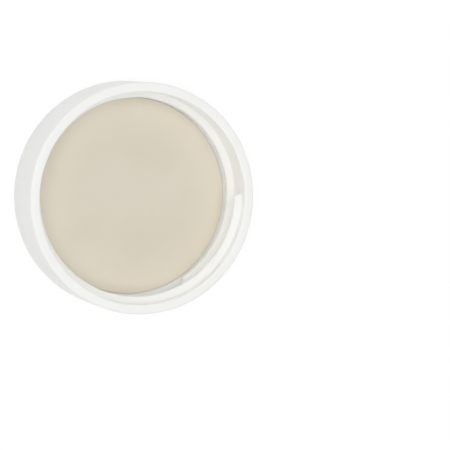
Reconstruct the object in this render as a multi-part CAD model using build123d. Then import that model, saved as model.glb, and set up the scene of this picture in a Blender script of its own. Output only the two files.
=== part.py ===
from build123d import *
from build123d.topology import SkipClean
import os
from math import radians, tan

# Septum screw cap: an open-top bottle closure with the faced silicone disc that seals it.
# It lies on its flat top with the mouth upwards, as a cap is put down beside its bottle.
# Lengths are millimetres and angles are degrees. The origin is the middle of the top's
# outer face, and +Z points out of the mouth.

# Cap shell
SHELL_HEIGHT = 12.5
SKIRT_THICKNESS = 1.7  # at the mouth
SKIRT_TAPER = 0.2  # what the outside of the skirt loses in radius from the mouth to the top
PANEL_THICKNESS = 1.3  # the flat top
PORT_DIAMETER = 16.0  # the needle's way in, through the top
TOP_EDGE_RADIUS = 0.6
RIM_EDGE_RADIUS = 0.4
PORT_CHAMFER = 0.2  # outer edge of the port
MOUTH_CHAMFER = 0.2  # inner edge of the rim

# Seat of the sealing disc, at the bottom of the bore
SEAT_DROP = 0.1  # how far the seat's mouth lies below the disc's face
LEDGE_RISE = 0.1  # the ledge around the seat climbs this much out to the plain bore

# Screw thread inside the skirt, right-handed
THREAD_ROOT_DIAMETER = 37.8  # the plain bore between the turns
THREAD_DEPTH = 1.2
THREAD_PITCH = 25.4 / 6  # six turns to the inch
THREAD_CREST_WIDTH = 0.9
THREAD_FLANK_ANGLE = 30.0  # each flank, from the plane square to the axis
THREAD_ENTRY_ANGLE = 12.0  # where the ridge ends at the mouth, anticlockwise from +X
THREAD_MOUTH_GAP = 1.4  # plain bore between the ridge's foot and the rim
THREAD_SEAL_GAP = 0.1  # between the ridge's foot and the disc below it
THREAD_FACES_PER_TURN = 8  # the crest is a row of cylindrical faces
RIDGE_OVERLAP = 0.3  # how far the ridge's blank runs past the bore and past the crest

# Sealing disc: silicone with a thin hard facing on the bottle's side
SILICONE_THICKNESS = 2.39  # a tenth of an inch with its facing
FACING_THICKNESS = 0.15
DISC_RIDGE_CLEARANCE = 0.1  # in radius, where the disc drops past the ridge's crest
DISC_SEAT_CLEARANCE = 0.05  # around the disc in its seat

root_radius = THREAD_ROOT_DIAMETER / 2
crest_radius = root_radius - THREAD_DEPTH
rim_radius = root_radius + SKIRT_THICKNESS
disc_radius = crest_radius - DISC_RIDGE_CLEARANCE
seat_radius = disc_radius + DISC_SEAT_CLEARANCE
disc_top = PANEL_THICKNESS + SILICONE_THICKNESS + FACING_THICKNESS
seat_top = disc_top - SEAT_DROP

flank_slope = tan(radians(THREAD_FLANK_ANGLE))
half_foot = THREAD_CREST_WIDTH / 2 + THREAD_DEPTH * flank_slope
thread_bottom = disc_top + THREAD_SEAL_GAP + half_foot
thread_rise = SHELL_HEIGHT - THREAD_MOUTH_GAP - half_foot - thread_bottom
thread_turn = 360 * thread_rise / THREAD_PITCH


def shell_blank():
    """The turned form of the cap: flat top with its port, tapered skirt, plain bore and seat."""
    port_radius = PORT_DIAMETER / 2
    corners = [  # radius and height of each corner of the section, and its edge radius
        ((port_radius, PORT_CHAMFER), 0),
        ((port_radius + PORT_CHAMFER, 0), 0),
        ((rim_radius - SKIRT_TAPER, 0), TOP_EDGE_RADIUS),
        ((rim_radius, SHELL_HEIGHT), RIM_EDGE_RADIUS),
        ((root_radius + MOUTH_CHAMFER, SHELL_HEIGHT), 0),
        ((root_radius, SHELL_HEIGHT - MOUTH_CHAMFER), 0),
        ((root_radius, seat_top + LEDGE_RISE), 0),
        ((seat_radius, seat_top), 0),
        ((seat_radius, PANEL_THICKNESS), 0),
        ((port_radius, PANEL_THICKNESS), 0),
    ]
    points, radii = zip(*corners)
    section = make_face(FilletPolyline(*points, radius=radii, close=True))
    return revolve(Plane.XZ * section, Axis.Z)


def ridge_half():
    """Upper half of the ridge's section, in the plane of the axis, about the ridge's middle."""
    foot = root_radius + RIDGE_OVERLAP
    tip = crest_radius - RIDGE_OVERLAP
    half_crest = THREAD_CREST_WIDTH / 2
    outline = Polyline(
        (foot, 0),
        (foot, half_crest + (foot - crest_radius) * flank_slope),
        (tip, half_crest + (tip - crest_radius) * flank_slope),
        (tip, 0),
        close=True,
    )
    return Plane.XZ * make_face(outline)


def bore_sector():
    """One sector of the core that the thread's crest is formed on."""
    sector_angle = 360 / THREAD_FACES_PER_TURN
    wedge = Plane.XZ * Pos(crest_radius / 2, SHELL_HEIGHT / 2) * Rectangle(crest_radius, SHELL_HEIGHT)
    return revolve(wedge, Axis.Z, sector_angle)


def thread_ridge():
    """The helical ridge from above the disc to the mouth, with a rounded run-out at each end."""
    half = ridge_half()
    section = half + mirror(half, Plane.XY)
    path = Helix(THREAD_PITCH, thread_rise, root_radius)
    coil = sweep(section, path, is_frenet=True)
    run_in = revolve(half, Axis.X, 180)
    run_out = Pos(Z=thread_rise) * Rot(Z=thread_turn) * mirror(run_in, Plane.XZ)
    blank = Rot(Z=THREAD_ENTRY_ANGLE - thread_turn) * (coil + run_in + run_out)
    sector = bore_sector()
    core = [
        Rot(Z=face * 360 / THREAD_FACES_PER_TURN) * sector for face in range(THREAD_FACES_PER_TURN)
    ]
    return Pos(Z=thread_bottom) * blank - core


def cap_shell():
    """The moulded cap."""
    with SkipClean():  # keeps the crest's faces apart
        return shell_blank() + thread_ridge()


def disc_layer(bottom, thickness):
    """One layer of the sealing disc."""
    return Pos(Z=bottom) * Cylinder(
        disc_radius, thickness, align=(Align.CENTER, Align.CENTER, Align.MIN)
    )


nodes = {
    "cap_shell": cap_shell(),
    "silicone_septum": disc_layer(PANEL_THICKNESS, SILICONE_THICKNESS),
    "septum_facing": disc_layer(PANEL_THICKNESS + SILICONE_THICKNESS, FACING_THICKNESS),
}

os.makedirs("parts", exist_ok=True)
for name, solid in nodes.items():
    export_step(solid, f"parts/{name}.step")
    print(name, "volume", round(solid.volume, 2), "mm3")
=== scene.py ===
"""Looks of a septum screw cap: its moulded shell, its silicone disc and the disc's facing film.

The cap lies on its flat top with the mouth up. Lengths are metres, and +Z points out of the mouth.
"""

from __future__ import annotations

import logging
import math
from dataclasses import dataclass
from enum import Enum
from typing import Any, Union

import bmesh
import bpy
from mathutils import Matrix, Vector

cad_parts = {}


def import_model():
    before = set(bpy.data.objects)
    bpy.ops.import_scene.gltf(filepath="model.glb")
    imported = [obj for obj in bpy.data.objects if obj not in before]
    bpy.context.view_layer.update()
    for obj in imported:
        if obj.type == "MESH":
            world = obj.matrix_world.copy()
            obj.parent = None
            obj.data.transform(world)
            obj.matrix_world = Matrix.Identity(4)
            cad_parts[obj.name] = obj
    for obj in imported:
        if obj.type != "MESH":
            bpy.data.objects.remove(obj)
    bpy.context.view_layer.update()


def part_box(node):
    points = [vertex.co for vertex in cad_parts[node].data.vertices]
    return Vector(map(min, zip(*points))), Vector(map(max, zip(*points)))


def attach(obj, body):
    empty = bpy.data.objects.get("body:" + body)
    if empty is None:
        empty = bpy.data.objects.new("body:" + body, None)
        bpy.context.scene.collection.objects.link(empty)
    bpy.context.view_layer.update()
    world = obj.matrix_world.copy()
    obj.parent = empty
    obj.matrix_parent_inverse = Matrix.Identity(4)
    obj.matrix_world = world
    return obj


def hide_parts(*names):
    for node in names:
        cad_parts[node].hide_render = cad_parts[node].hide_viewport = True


MM = 0.001
FULL_TURN = 2 * math.pi
log = logging.getLogger("septum_cap")

Colour = tuple[float, float, float, float]
WHITE: Colour = (1.0, 1.0, 1.0, 1.0)
Feed = Union[bpy.types.NodeSocket, float, Colour]  # a socket to join, or a plain value


class Node(Enum):
    """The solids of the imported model."""

    SHELL = "cap_shell"
    SILICONE = "silicone_septum"
    FACING = "septum_facing"


class Slot(Enum):
    """The record's material slots."""

    POLYPROPYLENE = "polypropylene"
    SILICONE = "silicone"
    FILM = "facing_film"


class Effect(Enum):
    """The shader groups that materials share."""

    MOULD_SKIN = "mould_skin"
    TONE_DRIFT = "tone_drift"
    DRAWN_LINES = "drawn_lines"


class Kind(Enum):
    """The kinds of socket that a shader group has."""

    VECTOR = "NodeSocketVector"
    NUMBER = "NodeSocketFloat"
    COLOUR = "NodeSocketColor"


# ---------------------------------------------------------------- shader wiring


class Wiring:
    """Adds nodes to one node tree and joins them."""

    def __init__(self, tree: bpy.types.NodeTree) -> None:
        """Start with an empty tree.

        Args:
            tree: The material's, world's or group's node tree.
        """
        self.tree = tree
        tree.nodes.clear()

    def feed(self, socket: bpy.types.NodeSocket, value: Feed) -> None:
        """Join a socket to an input, or write a plain value there.

        Args:
            socket: The input.
            value: The output socket or the value that it gets.
        """
        if isinstance(value, bpy.types.NodeSocket):
            self.tree.links.new(value, socket)
        else:
            socket.default_value = value

    def node(
        self, kind: str, inputs: dict[str | int, Feed] | None = None, **settings: Any
    ) -> bpy.types.Node:
        """Add one node.

        Args:
            kind: Blender's name for the node type.
            inputs: An output socket or a value for each named or numbered input.
            **settings: Properties of the node itself.

        Returns:
            The new node.
        """
        made = self.tree.nodes.new(kind)
        for name, value in settings.items():
            setattr(made, name, value)
        for key, value in (inputs or {}).items():
            self.feed(made.inputs[key], value)
        return made

    def math(self, operation: str, first: Feed, second: Feed = 0.0) -> bpy.types.NodeSocket:
        """Add a Math node.

        Args:
            operation: The sum to work out, such as MULTIPLY.
            first: Its first value or socket.
            second: Its second value or socket.

        Returns:
            The result's socket.
        """
        return self.node("ShaderNodeMath", {0: first, 1: second}, operation=operation).outputs[0]

    def blend(self, *parts: tuple[float, bpy.types.NodeSocket]) -> bpy.types.NodeSocket:
        """Add up patterns, each by its share.

        Args:
            *parts: The share and the socket of each pattern.

        Returns:
            The sum's socket.
        """
        shares = [self.math("MULTIPLY", pattern, share) for share, pattern in parts]
        total = shares[0]
        for part in shares[1:]:
            total = self.math("ADD", total, part)
        return total

    def noise(
        self, position: bpy.types.NodeSocket, size: Feed, detail: float = 2.0
    ) -> bpy.types.NodeSocket:
        """Add a noise pattern.

        Args:
            position: The socket that holds the place to read.
            size: The pattern's cell, in metres, as a value or a socket.
            detail: Octaves of finer noise.

        Returns:
            The socket with the noise, from 0 to 1.
        """
        scale = self.math("DIVIDE", 1.0, size)
        inputs = {"Vector": position, "Scale": scale, "Detail": detail}
        return self.node("ShaderNodeTexNoise", inputs).outputs["Fac"]

    def mixed(
        self, share: bpy.types.NodeSocket, first: Feed, second: Feed
    ) -> bpy.types.NodeSocket:
        """Mix two colours.

        Args:
            share: How much of the second colour, from 0 to 1.
            first: The first colour.
            second: The second colour.

        Returns:
            The socket with the mixed colour.
        """
        made = self.node("ShaderNodeMix", {"Factor": share}, data_type="RGBA")
        for key, value in (("A", first), ("B", second)):
            self.feed(next(s for s in made.inputs if s.name == key and s.type == "RGBA"), value)
        return next(s for s in made.outputs if s.type == "RGBA")

    def spread(self, value: bpy.types.NodeSocket, low: Feed, high: Feed) -> bpy.types.NodeSocket:
        """Stretch a value from 0 to 1 over a new range.

        Args:
            value: The socket with the value.
            low: What 0 becomes.
            high: What 1 becomes.

        Returns:
            The socket with the stretched value.
        """
        inputs = {"Value": value, "To Min": low, "To Max": high}
        return self.node("ShaderNodeMapRange", inputs).outputs["Result"]

    def eased(
        self,
        value: bpy.types.NodeSocket,
        span: tuple[float, float],
        levels: tuple[float, float] = (0.0, 1.0),
    ) -> bpy.types.NodeSocket:
        """Pass smoothly from one level to another over a span of a value.

        Args:
            value: The socket with the value.
            span: Where the change starts and ends.
            levels: The result before and after the change.

        Returns:
            The socket with the level.
        """
        inputs = {
            "Value": value,
            "From Min": span[0],
            "From Max": span[1],
            "To Min": levels[0],
            "To Max": levels[1],
        }
        made = self.node("ShaderNodeMapRange", inputs, interpolation_type="SMOOTHSTEP")
        return made.outputs["Result"]


class EffectShelf:
    """Builds each shared shader group once and places it in materials."""

    RELIEF_SHARES = (0.3, 0.3, 0.4)  # rings, grain and ripple in the skin's height
    GLOSS_SHARES = (0.5, 0.5)  # grain and ripple in the skin's gloss
    PATCH_EDGES = (0.3, 0.7)  # noise levels between which one shade turns into the other

    def __init__(self) -> None:
        """Build every group."""
        self.groups = {
            Effect.MOULD_SKIN: self._mould_skin(),
            Effect.TONE_DRIFT: self._tone_drift(),
            Effect.DRAWN_LINES: self._drawn_lines(),
        }

    def place(self, wiring: Wiring, effect: Effect, **inputs: Feed) -> bpy.types.Node:
        """Put a group into a material.

        Args:
            wiring: The material's wiring.
            effect: Which group.
            **inputs: The group's inputs, with spaces written as underscores.

        Returns:
            The group node.
        """
        made = wiring.node("ShaderNodeGroup", node_tree=self.groups[effect])
        for name, value in inputs.items():
            wiring.feed(made.inputs[name.replace("_", " ").capitalize()], value)
        return made

    @staticmethod
    def _new_group(
        effect: Effect, inputs: dict[str, Kind], outputs: dict[str, Kind]
    ) -> tuple[Wiring, bpy.types.Node, bpy.types.Node]:
        """Make an empty group with its sockets.

        Args:
            effect: The group's name.
            inputs: The kind of socket for each input's name.
            outputs: The kind of socket for each output's name.

        Returns:
            The group's wiring, its input node and its output node.
        """
        tree = bpy.data.node_groups.new(effect.value, "ShaderNodeTree")
        for direction, sockets in (("INPUT", inputs), ("OUTPUT", outputs)):
            for name, kind in sockets.items():
                tree.interface.new_socket(name=name, in_out=direction, socket_type=kind.value)
        wiring = Wiring(tree)
        return wiring, wiring.node("NodeGroupInput"), wiring.node("NodeGroupOutput")

    def _mould_skin(self) -> bpy.types.ShaderNodeTree:
        """Skin of a moulded part: faint rings of the turned mould, a fine grain and a slow ripple.

        Returns:
            The group's node tree.
        """
        inputs = {
            "Position": Kind.VECTOR,
            "Ring pitch": Kind.NUMBER,
            "Grain size": Kind.NUMBER,
            "Ripple size": Kind.NUMBER,
        }
        outputs = {"Height": Kind.NUMBER, "Gloss": Kind.NUMBER}
        wiring, given, result = self._new_group(Effect.MOULD_SKIN, inputs, outputs)
        position = given.outputs["Position"]
        axes = wiring.node("ShaderNodeSeparateXYZ", {0: position})
        squares = [wiring.math("MULTIPLY", axes.outputs[i], axes.outputs[i]) for i in (0, 1)]
        radius = wiring.math("SQRT", wiring.math("ADD", *squares))
        section = wiring.node("ShaderNodeCombineXYZ", {0: radius, 1: axes.outputs[2]})
        rings = wiring.noise(section.outputs[0], given.outputs["Ring pitch"], detail=1.0)
        grain = wiring.noise(position, given.outputs["Grain size"])
        ripple = wiring.noise(position, given.outputs["Ripple size"], detail=1.0)
        height = wiring.blend(*zip(self.RELIEF_SHARES, (rings, grain, ripple)))
        gloss = wiring.blend(*zip(self.GLOSS_SHARES, (grain, ripple)))
        wiring.tree.links.new(height, result.inputs["Height"])
        wiring.tree.links.new(gloss, result.inputs["Gloss"])
        return wiring.tree

    def _tone_drift(self) -> bpy.types.ShaderNodeTree:
        """Slow drift of a colour towards a second shade, in soft patches.

        Returns:
            The group's node tree.
        """
        inputs = {
            "Position": Kind.VECTOR,
            "Patch size": Kind.NUMBER,
            "Colour": Kind.COLOUR,
            "Shade": Kind.COLOUR,
        }
        outputs = {"Colour": Kind.COLOUR}
        wiring, given, result = self._new_group(Effect.TONE_DRIFT, inputs, outputs)
        patches = wiring.noise(given.outputs["Position"], given.outputs["Patch size"], detail=3.0)
        share = wiring.eased(patches, self.PATCH_EDGES)
        colour = wiring.mixed(share, given.outputs["Colour"], given.outputs["Shade"])
        wiring.tree.links.new(colour, result.inputs["Colour"])
        return wiring.tree

    def _drawn_lines(self) -> bpy.types.ShaderNodeTree:
        """Fine lines along X, as a knife or a roller leaves them on sheet.

        Returns:
            The group's node tree.
        """
        inputs = {
            "Position": Kind.VECTOR,
            "Line pitch": Kind.NUMBER,
            "Stretch": Kind.NUMBER,
        }
        outputs = {"Lines": Kind.NUMBER}
        wiring, given, result = self._new_group(Effect.DRAWN_LINES, inputs, outputs)
        axes = wiring.node("ShaderNodeSeparateXYZ", {0: given.outputs["Position"]})
        along = wiring.math("DIVIDE", axes.outputs[0], given.outputs["Stretch"])
        parts = {0: along, 1: axes.outputs[1], 2: axes.outputs[2]}
        drawn = wiring.node("ShaderNodeCombineXYZ", parts)
        lines = wiring.noise(drawn.outputs[0], given.outputs["Line pitch"])
        wiring.tree.links.new(lines, result.inputs["Lines"])
        return wiring.tree


# ---------------------------------------------------------------- finishes


@dataclass(frozen=True)
class Finish:
    """What every finish has: two shades that drift into each other, a relief and a gloss."""

    name: str
    colour: Colour
    shade: Colour
    patch_size: float
    relief: float
    roughness: tuple[float, float]
    refraction: float

    def _start(
        self, shelf: EffectShelf
    ) -> tuple[bpy.types.Material, Wiring, bpy.types.NodeSocket, bpy.types.NodeSocket]:
        """Make the material with its place on the piece and its drifting colour.

        Args:
            shelf: The shared shader groups.

        Returns:
            The material, its wiring, the socket with the place and the socket with the colour.
        """
        made = bpy.data.materials.new(self.name)
        made.use_nodes = True
        wiring = Wiring(made.node_tree)
        place = wiring.node("ShaderNodeTexCoord").outputs["Object"]
        drift = shelf.place(
            wiring,
            Effect.TONE_DRIFT,
            position=place,
            patch_size=self.patch_size,
            colour=self.colour,
            shade=self.shade,
        )
        return made, wiring, place, drift.outputs["Colour"]

    def _close(
        self,
        wiring: Wiring,
        height: bpy.types.NodeSocket,
        gloss: bpy.types.NodeSocket,
        inputs: dict[str, Feed],
    ) -> None:
        """Join the relief and the gloss to the surface, and the surface to the material.

        Args:
            wiring: The material's wiring.
            height: The relief's pattern.
            gloss: The pattern of the roughness.
            inputs: The surface's other inputs.
        """
        bump = wiring.node("ShaderNodeBump", {"Height": height, "Distance": self.relief})
        surface = wiring.node(
            "ShaderNodeBsdfPrincipled",
            {
                "Roughness": wiring.spread(gloss, *self.roughness),
                "Normal": bump.outputs["Normal"],
                "IOR": self.refraction,
                **inputs,
            },
        )
        wiring.node("ShaderNodeOutputMaterial", {"Surface": surface.outputs[0]})


@dataclass(frozen=True)
class MouldedFinish(Finish):
    """A moulded or cast surface that lets a little light in."""

    ring_pitch: float
    grain_size: float
    ripple_size: float
    depth_share: float
    depth_reach: float

    def material(self, shelf: EffectShelf) -> bpy.types.Material:
        """Build the material.

        Args:
            shelf: The shared shader groups.

        Returns:
            The finished material.
        """
        made, wiring, place, colour = self._start(shelf)
        skin = shelf.place(
            wiring,
            Effect.MOULD_SKIN,
            position=place,
            ring_pitch=self.ring_pitch,
            grain_size=self.grain_size,
            ripple_size=self.ripple_size,
        )
        inputs = {
            "Base Color": colour,
            "Subsurface Weight": self.depth_share,
            "Subsurface Radius": (1.0, 1.0, 1.0),
            "Subsurface Scale": self.depth_reach,
        }
        self._close(wiring, skin.outputs["Height"], skin.outputs["Gloss"], inputs)
        return made


@dataclass(frozen=True)
class FilmFinish(Finish):
    """A thin skived film: fine lines one way, soft patches of tone and a dull sheen."""

    line_tone: Colour
    line_pitch: float
    line_stretch: float
    line_share: float = 0.5

    def material(self, shelf: EffectShelf) -> bpy.types.Material:
        """Build the material.

        Args:
            shelf: The shared shader groups.

        Returns:
            The finished material.
        """
        made, wiring, place, colour = self._start(shelf)
        drawn = shelf.place(
            wiring,
            Effect.DRAWN_LINES,
            position=place,
            line_pitch=self.line_pitch,
            stretch=self.line_stretch,
        )
        lines = drawn.outputs["Lines"]
        tinted = wiring.mixed(wiring.spread(lines, 0.0, self.line_share), colour, self.line_tone)
        self._close(wiring, lines, lines, {"Base Color": tinted})
        return made


WHITE_POLYPROPYLENE = MouldedFinish(
    name="white_polypropylene",
    colour=(0.893, 0.895, 0.878, 1.0),
    shade=(0.878, 0.879, 0.859, 1.0),
    patch_size=9 * MM,
    ring_pitch=0.35 * MM,
    grain_size=0.12 * MM,
    ripple_size=4 * MM,
    relief=0.03 * MM,
    roughness=(0.42, 0.56),
    refraction=1.49,
    depth_share=0.4,
    depth_reach=1.5 * MM,
)
CLEAR_WHITE_SILICONE = MouldedFinish(
    name="white_silicone",
    colour=(0.8, 0.81, 0.78, 1.0),
    shade=(0.77, 0.78, 0.745, 1.0),
    patch_size=6 * MM,
    ring_pitch=2 * MM,
    grain_size=0.18 * MM,
    ripple_size=3 * MM,
    relief=0.04 * MM,
    roughness=(0.5, 0.65),
    refraction=1.41,
    depth_share=0.35,
    depth_reach=1.5 * MM,
)
BEIGE_FILM = FilmFinish(
    name="beige_facing_film",
    colour=(0.812, 0.757, 0.641, 1.0),
    shade=(0.785, 0.719, 0.594, 1.0),
    line_tone=(0.799, 0.739, 0.618, 1.0),
    patch_size=11 * MM,
    line_pitch=0.25 * MM,
    line_stretch=24.0,
    relief=0.012 * MM,
    roughness=(0.48, 0.62),
    refraction=1.36,
)


# ---------------------------------------------------------------- meshes


def finished_piece(
    mesh: bmesh.types.BMesh, name: str, node: Node, material: bpy.types.Material
) -> bpy.types.Object:
    """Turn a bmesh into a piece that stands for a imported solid.

    Args:
        mesh: The shape, in the model's frame. It is freed.
        name: The piece's name.
        node: The solid that it stands for.
        material: Its material.

    Returns:
        The new object.
    """
    bmesh.ops.recalc_face_normals(mesh, faces=mesh.faces[:])
    data = bpy.data.meshes.new(name)
    mesh.to_mesh(data)
    mesh.free()
    data.materials.append(material)
    piece = bpy.data.objects.new(name, data)
    bpy.context.scene.collection.objects.link(piece)
    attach(piece, "root")
    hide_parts(node.value)
    log.info("%s: %d faces", name, len(data.polygons))
    return piece


@dataclass(frozen=True)
class Corner:
    """One corner of a turned section."""

    radius: float
    height: float
    rounding: float = 0.0


def draw_section(mesh: bmesh.types.BMesh, corners: list[Corner], segments: int) -> None:
    """Draw a closed section in the XZ plane and round its corners.

    Args:
        mesh: The bmesh to draw in.
        corners: The section's corners in order.
        segments: Faces across each rounded corner.
    """
    points = [mesh.verts.new((c.radius, 0.0, c.height)) for c in corners]
    for first, second in zip(points, points[1:] + points[:1]):
        mesh.edges.new((first, second))
    for point, corner in zip(points, corners):
        if corner.rounding:
            bmesh.ops.bevel(
                mesh,
                geom=[point],
                offset=corner.rounding,
                offset_type="OFFSET",
                affect="VERTICES",
                segments=segments,
                profile=0.5,
                material=-1,
            )


def shade_smooth(piece: bpy.types.Object) -> None:
    """Shade every face of a piece smoothly."""
    for face in piece.data.polygons:
        face.use_smooth = True


@dataclass
class ThreadRidge:
    """The right-hand ridge on the wall of the bore, as a height over that wall."""

    root_radius: float
    bottom: float
    rise: float
    end_angle: float
    pitch: float = 25.4 / 6 * MM
    depth: float = 1.2 * MM
    crest_width: float = 0.9 * MM
    flank_angle: float = math.radians(30)
    softness: float = 0.2

    @property
    def half_foot(self) -> float:
        """Half the ridge's width where it meets the wall."""
        return self.crest_width / 2 + self.depth * math.tan(self.flank_angle)

    @property
    def sweep_angle(self) -> float:
        """How far round the bore the ridge's middle line runs."""
        return FULL_TURN * self.rise / self.pitch

    def _profile(self, distance: float) -> float:
        """Height of the ridge beside its middle line, with its edges softened.

        Args:
            distance: How far from the middle line.

        Returns:
            The height over the wall.
        """
        soft = self.softness
        share = (self.half_foot - distance) / (self.half_foot - self.crest_width / 2)
        if share <= -soft:
            return 0.0
        if share < soft:
            return self.depth * (share + soft) ** 2 / (4 * soft)
        if share < 1 - soft:
            return self.depth * share
        if share < 1 + soft:
            return self.depth * (1 - (1 + soft - share) ** 2 / (4 * soft))
        return self.depth

    def height_at(self, angle: float, level: float) -> float:
        """Height of the ridge at one place on the wall, with rounded ends.

        Args:
            angle: The place's angle about +Z.
            level: The place's height.

        Returns:
            The height over the wall, towards the axis.
        """
        start = self.end_angle - self.sweep_angle
        run_on = self.half_foot / self.root_radius
        turned = (angle - start + run_on) % FULL_TURN - run_on
        highest = 0.0
        while turned <= self.sweep_angle + run_on:
            nearest = min(max(turned, 0.0), self.sweep_angle)
            beside = level - self.bottom - self.pitch * nearest / FULL_TURN
            beyond = (turned - nearest) * self.root_radius
            highest = max(highest, self._profile(math.hypot(beside, beyond)))
            turned += FULL_TURN
        return highest


@dataclass
class CapShell:
    """The moulded cap: flat top with its port, tapered skirt, rim and threaded bore.

    The disc's seat is at the bottom of the bore, and a narrow ledge climbs from it to the wall.
    """

    height: float
    disc_top: float
    root_radius: float = 18.9 * MM
    skirt_thickness: float = 1.7 * MM
    skirt_taper: float = 0.2 * MM
    panel_thickness: float = 1.3 * MM
    port_radius: float = 8.0 * MM
    top_edge: float = 0.6 * MM
    rim_edge: float = 0.4 * MM
    port_edge: float = 0.2 * MM
    inner_port_edge: float = 0.05 * MM
    mouth_edge: float = 0.2 * MM
    seat_radius: float = 17.65 * MM
    seat_drop: float = 0.1 * MM
    ledge_rise: float = 0.1 * MM
    ledge_edge: float = 0.04 * MM
    seal_gap: float = 0.1 * MM
    mouth_gap: float = 1.4 * MM
    thread_end: float = math.radians(12)
    columns: int = 432
    rows: int = 128
    edge_segments: int = 6

    def ridge(self) -> ThreadRidge:
        """Lay out the thread's ridge, from just above the disc to some way below the rim.

        Returns:
            The ridge.
        """
        ridge = ThreadRidge(self.root_radius, 0.0, 0.0, self.thread_end)
        ridge.bottom = self.disc_top + self.seal_gap + ridge.half_foot
        ridge.rise = self.height - self.mouth_gap - ridge.half_foot - ridge.bottom
        return ridge

    def section(self) -> list[Corner]:
        """List the corners of the shell's section.

        Returns:
            The corners, from the port outwards, up the skirt and back down the bore.
        """
        rim_radius = self.root_radius + self.skirt_thickness
        seat_top = self.disc_top - self.seat_drop
        return [
            Corner(self.port_radius, 0.0, self.port_edge),
            Corner(rim_radius - self.skirt_taper, 0.0, self.top_edge),
            Corner(rim_radius, self.height, self.rim_edge),
            Corner(self.root_radius, self.height, self.mouth_edge),
            Corner(self.root_radius, self.height - self.mouth_gap),
            Corner(self.root_radius, seat_top + self.ledge_rise),
            Corner(self.seat_radius, seat_top, self.ledge_edge),
            Corner(self.seat_radius, self.panel_thickness),
            Corner(self.port_radius, self.panel_thickness, self.inner_port_edge),
        ]

    def _threaded_wall(self, mesh: bmesh.types.BMesh) -> list[bmesh.types.BMEdge]:
        """Find the section's edges along the threaded stretch of the bore.

        Args:
            mesh: The drawn section.

        Returns:
            The edges.
        """
        slack = self.seal_gap / 2
        return [
            edge
            for edge in mesh.edges
            if all(
                abs(v.co.x - self.root_radius) < slack
                and self.disc_top - slack < v.co.z < self.height - self.mouth_gap + slack
                for v in edge.verts
            )
        ]

    def build(self, material: bpy.types.Material) -> bpy.types.Object:
        """Turn the section round the axis and raise the thread on its bore.

        Args:
            material: The shell's material.

        Returns:
            The shell's piece.
        """
        mesh = bmesh.new()
        draw_section(mesh, self.section(), self.edge_segments)
        bmesh.ops.subdivide_edges(mesh, edges=self._threaded_wall(mesh), cuts=self.rows)
        bmesh.ops.spin(
            mesh,
            geom=mesh.verts[:] + mesh.edges[:],
            cent=(0, 0, 0),
            axis=(0, 0, 1),
            angle=FULL_TURN,
            steps=self.columns,
            use_merge=True,
        )
        self._raise_thread(mesh)
        piece = finished_piece(mesh, "moulded_shell", Node.SHELL, material)
        shade_smooth(piece)
        return piece

    def _raise_thread(self, mesh: bmesh.types.BMesh) -> None:
        """Move the bore's vertices in towards the axis by the ridge's height.

        Args:
            mesh: The turned shell.
        """
        ridge = self.ridge()
        slack = self.seal_gap / 2
        for vert in mesh.verts:
            radius = math.hypot(vert.co.x, vert.co.y)
            if abs(radius - self.root_radius) > slack or vert.co.z < self.disc_top:
                continue
            raised = ridge.height_at(math.atan2(vert.co.y, vert.co.x), vert.co.z)
            vert.co.x *= 1 - raised / radius
            vert.co.y *= 1 - raised / radius


@dataclass
class DiscLayer:
    """One punched layer of the sealing disc."""

    name: str
    node: Node
    slot: Slot
    radius: float
    bottom: float
    top: float
    edge: float
    columns: int = 288
    edge_segments: int = 3
    rings: int = 5

    def build(self, material: bpy.types.Material) -> bpy.types.Object:
        """Punch the disc, round its edges and ring its faces.

        Args:
            material: The layer's material.

        Returns:
            The layer's piece.
        """
        mesh = bmesh.new()
        middle = Matrix.Translation((0, 0, (self.bottom + self.top) / 2))
        bmesh.ops.create_cone(
            mesh,
            cap_ends=True,
            segments=self.columns,
            radius1=self.radius,
            radius2=self.radius,
            depth=self.top - self.bottom,
            matrix=middle,
        )
        caps = [face for face in mesh.faces if len(face.verts) == self.columns]
        rim = [edge for face in caps for edge in face.edges]
        bmesh.ops.bevel(
            mesh,
            geom=rim,
            offset=self.edge,
            offset_type="OFFSET",
            affect="EDGES",
            segments=self.edge_segments,
            profile=0.5,
            material=-1,
        )
        caps = [face for face in mesh.faces if len(face.verts) == self.columns]
        for _ in range(self.rings):
            bmesh.ops.inset_individual(mesh, faces=caps, thickness=self.radius / (self.rings + 1))
        piece = finished_piece(mesh, self.name, self.node, material)
        shade_smooth(piece)
        return piece


# ---------------------------------------------------------------- floor, light and camera


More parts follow.
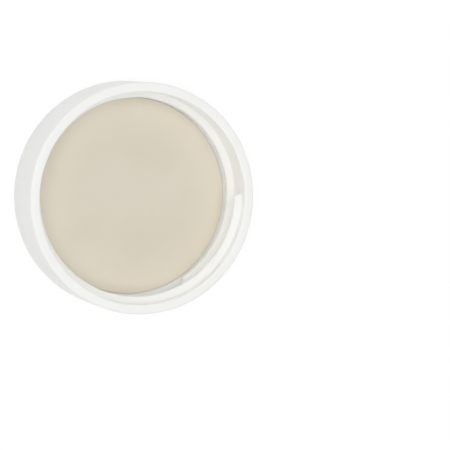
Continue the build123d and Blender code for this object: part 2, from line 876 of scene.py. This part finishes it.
@dataclass(frozen=True)
class Studio:
    """A pale floor under a soft white sky that is brightest low down, with one large lamp.

    The sky's levels hold for the light on the object. Its bounds, side_bottom and side_top, are
    sines of the angle over the horizon.
    """

    floor_side: float = 4.0
    floor_colour: Colour = (0.74, 0.74, 0.74, 1.0)
    seen_floor_colour: Colour = (0.24, 0.24, 0.24, 1.0)
    seen_floor_glow: float = 0.79
    horizon_level: float = 0.34
    side_level: float = 1.54
    top_level: float = 0.1
    side_bottom: float = 0.3
    side_top: float = 0.8
    lamp_side: float = 0.9
    lamp_watts: float = 6.97
    lamp_place: tuple[float, float, float] = (-0.22, -0.02, 1.14)

    def build(self) -> None:
        """Make the floor, the sky and the lamp."""
        self._floor()
        self._sky()
        self._lamp()

    @staticmethod
    def _seen_directly(wiring: Wiring) -> bpy.types.NodeSocket:
        """Tell the rays that show the background from those that light the object.

        Args:
            wiring: The wiring of the floor's material or of the world.

        Returns:
            The socket with 1 for camera, glossy and transmission rays, and 0 for the others.
        """
        path = wiring.node("ShaderNodeLightPath")
        rays = ("Is Camera Ray", "Is Glossy Ray", "Is Transmission Ray")
        camera, glossy, through = (path.outputs[name] for name in rays)
        return wiring.math("MAXIMUM", camera, wiring.math("MAXIMUM", glossy, through))

    def _floor(self) -> None:
        """A pale floor that keeps the object's soft shadow."""
        mesh = bmesh.new()
        bmesh.ops.create_grid(mesh, x_segments=2, y_segments=2, size=self.floor_side / 2)
        data = bpy.data.meshes.new("floor")
        mesh.to_mesh(data)
        mesh.free()
        material = bpy.data.materials.new("pale_floor")
        material.use_nodes = True
        wiring = Wiring(material.node_tree)
        paint = wiring.node("ShaderNodeBsdfDiffuse", {"Color": self.floor_colour})
        seen_paint = wiring.node("ShaderNodeBsdfDiffuse", {"Color": self.seen_floor_colour})
        glow = wiring.node("ShaderNodeEmission", {"Strength": self.seen_floor_glow})
        seen = wiring.node("ShaderNodeAddShader", {0: seen_paint.outputs[0], 1: glow.outputs[0]})
        share = self._seen_directly(wiring)
        parts = {0: share, 1: paint.outputs[0], 2: seen.outputs[0]}
        both = wiring.node("ShaderNodeMixShader", parts)
        wiring.node("ShaderNodeOutputMaterial", {"Surface": both.outputs[0]})
        data.materials.append(material)
        floor = bpy.data.objects.new("floor", data)
        bpy.context.scene.collection.objects.link(floor)

    def _sky(self) -> None:
        """A white sky: full white where it is seen, and soft light from its sides elsewhere."""
        world = bpy.data.worlds.new("white_sky")
        bpy.context.scene.world = world
        world.use_nodes = True
        wiring = Wiring(world.node_tree)
        direction = wiring.node("ShaderNodeTexCoord").outputs["Generated"]
        upward = wiring.node("ShaderNodeSeparateXYZ", {0: direction}).outputs[2]
        lower, upper = (0.0, self.side_bottom), (self.side_bottom, self.side_top)
        rise = wiring.eased(upward, lower, (self.horizon_level, self.side_level))
        fall = wiring.eased(upward, upper, (self.side_level, self.top_level))
        soft = wiring.math("MINIMUM", rise, fall)
        strength = wiring.spread(self._seen_directly(wiring), soft, 1.0)
        sky = wiring.node("ShaderNodeBackground", {"Color": WHITE, "Strength": strength})
        wiring.node("ShaderNodeOutputWorld", {"Surface": sky.outputs[0]})

    def _lamp(self) -> None:
        """One large square lamp, high up and turned to the object."""
        light = bpy.data.lights.new("soft_lamp", "AREA")
        light.shape = "SQUARE"
        light.size = self.lamp_side
        light.energy = self.lamp_watts
        lamp = bpy.data.objects.new("soft_lamp", light)
        lamp.location = self.lamp_place
        lamp.rotation_mode = "QUATERNION"
        lamp.rotation_quaternion = (-Vector(self.lamp_place)).to_track_quat("-Z", "Y")
        lamp.visible_camera = False
        bpy.context.scene.collection.objects.link(lamp)


@dataclass(frozen=True)
class Viewpoint:
    """A long lens that looks down into the mouth, a little from the side.

    Pixels are those of a square picture, counted from its top left corner.
    """

    picture_px: float = 450.0
    focal_px: float = 3397.0
    mouth_px: tuple[float, float] = (143.26, 198.63)
    mouth_radius_px: float = 116.64
    tilt: float = math.radians(18.65)
    roll: float = math.radians(13.24)
    sensor_mm: float = 36.0

    def build(self, mouth: Vector, mouth_radius: float) -> None:
        """Place the camera so that the mouth falls where it should in the picture.

        Args:
            mouth: Middle of the rim's circle.
            mouth_radius: The rim's outside radius.
        """
        forward = Vector((math.sin(self.tilt), 0, -math.cos(self.tilt)))
        lean = Vector((math.cos(self.tilt), 0, math.sin(self.tilt)))
        across = (-forward).cross(lean)
        right = lean * math.cos(self.roll) + across * math.sin(self.roll)
        up = across * math.cos(self.roll) - lean * math.sin(self.roll)
        metres_per_px = mouth_radius / self.mouth_radius_px
        middle = self.picture_px / 2
        aside = right * (self.mouth_px[0] - middle) + up * (middle - self.mouth_px[1])
        place = mouth - forward * self.focal_px * metres_per_px - aside * metres_per_px
        data = bpy.data.cameras.new("camera")
        data.sensor_width = self.sensor_mm
        data.lens = self.focal_px * self.sensor_mm / self.picture_px
        camera = bpy.data.objects.new("camera", data)
        turn = Matrix((right, up, -forward)).transposed()
        camera.matrix_world = Matrix.Translation(place) @ turn.to_4x4()
        bpy.context.scene.collection.objects.link(camera)
        bpy.context.scene.camera = camera


# ---------------------------------------------------------------- the whole cap


def build_cap() -> None:
    """Build and dress the shell and both layers of the disc."""
    shelf = EffectShelf()
    shell_low, shell_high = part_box(Node.SHELL.value)
    facing_low, facing_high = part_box(Node.FACING.value)
    silicone_low, silicone_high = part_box(Node.SILICONE.value)
    shell = CapShell(height=shell_high.z - shell_low.z, disc_top=facing_high.z)
    shell.build(WHITE_POLYPROPYLENE.material(shelf))
    layers = [
        (
            DiscLayer(
                name="silicone_disc",
                node=Node.SILICONE,
                slot=Slot.SILICONE,
                radius=silicone_high.x,
                bottom=silicone_low.z,
                top=silicone_high.z,
                edge=0.1 * MM,
            ),
            CLEAR_WHITE_SILICONE,
        ),
        (
            DiscLayer(
                name="facing_film_disc",
                node=Node.FACING,
                slot=Slot.FILM,
                radius=facing_high.x,
                bottom=facing_low.z,
                top=facing_high.z,
                edge=0.04 * MM,
            ),
            BEIGE_FILM,
        ),
    ]
    for layer, finish in layers:
        layer.build(finish.material(shelf))
    Viewpoint().build(Vector((0, 0, shell.height)), shell.root_radius + shell.skirt_thickness)


def main() -> None:
    """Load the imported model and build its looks."""
    logging.basicConfig(level=logging.INFO, format="%(name)s: %(message)s")
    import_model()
    build_cap()
    Studio().build()
    bpy.context.scene.view_settings.view_transform = "Standard"


if __name__ == "__main__":
    main()
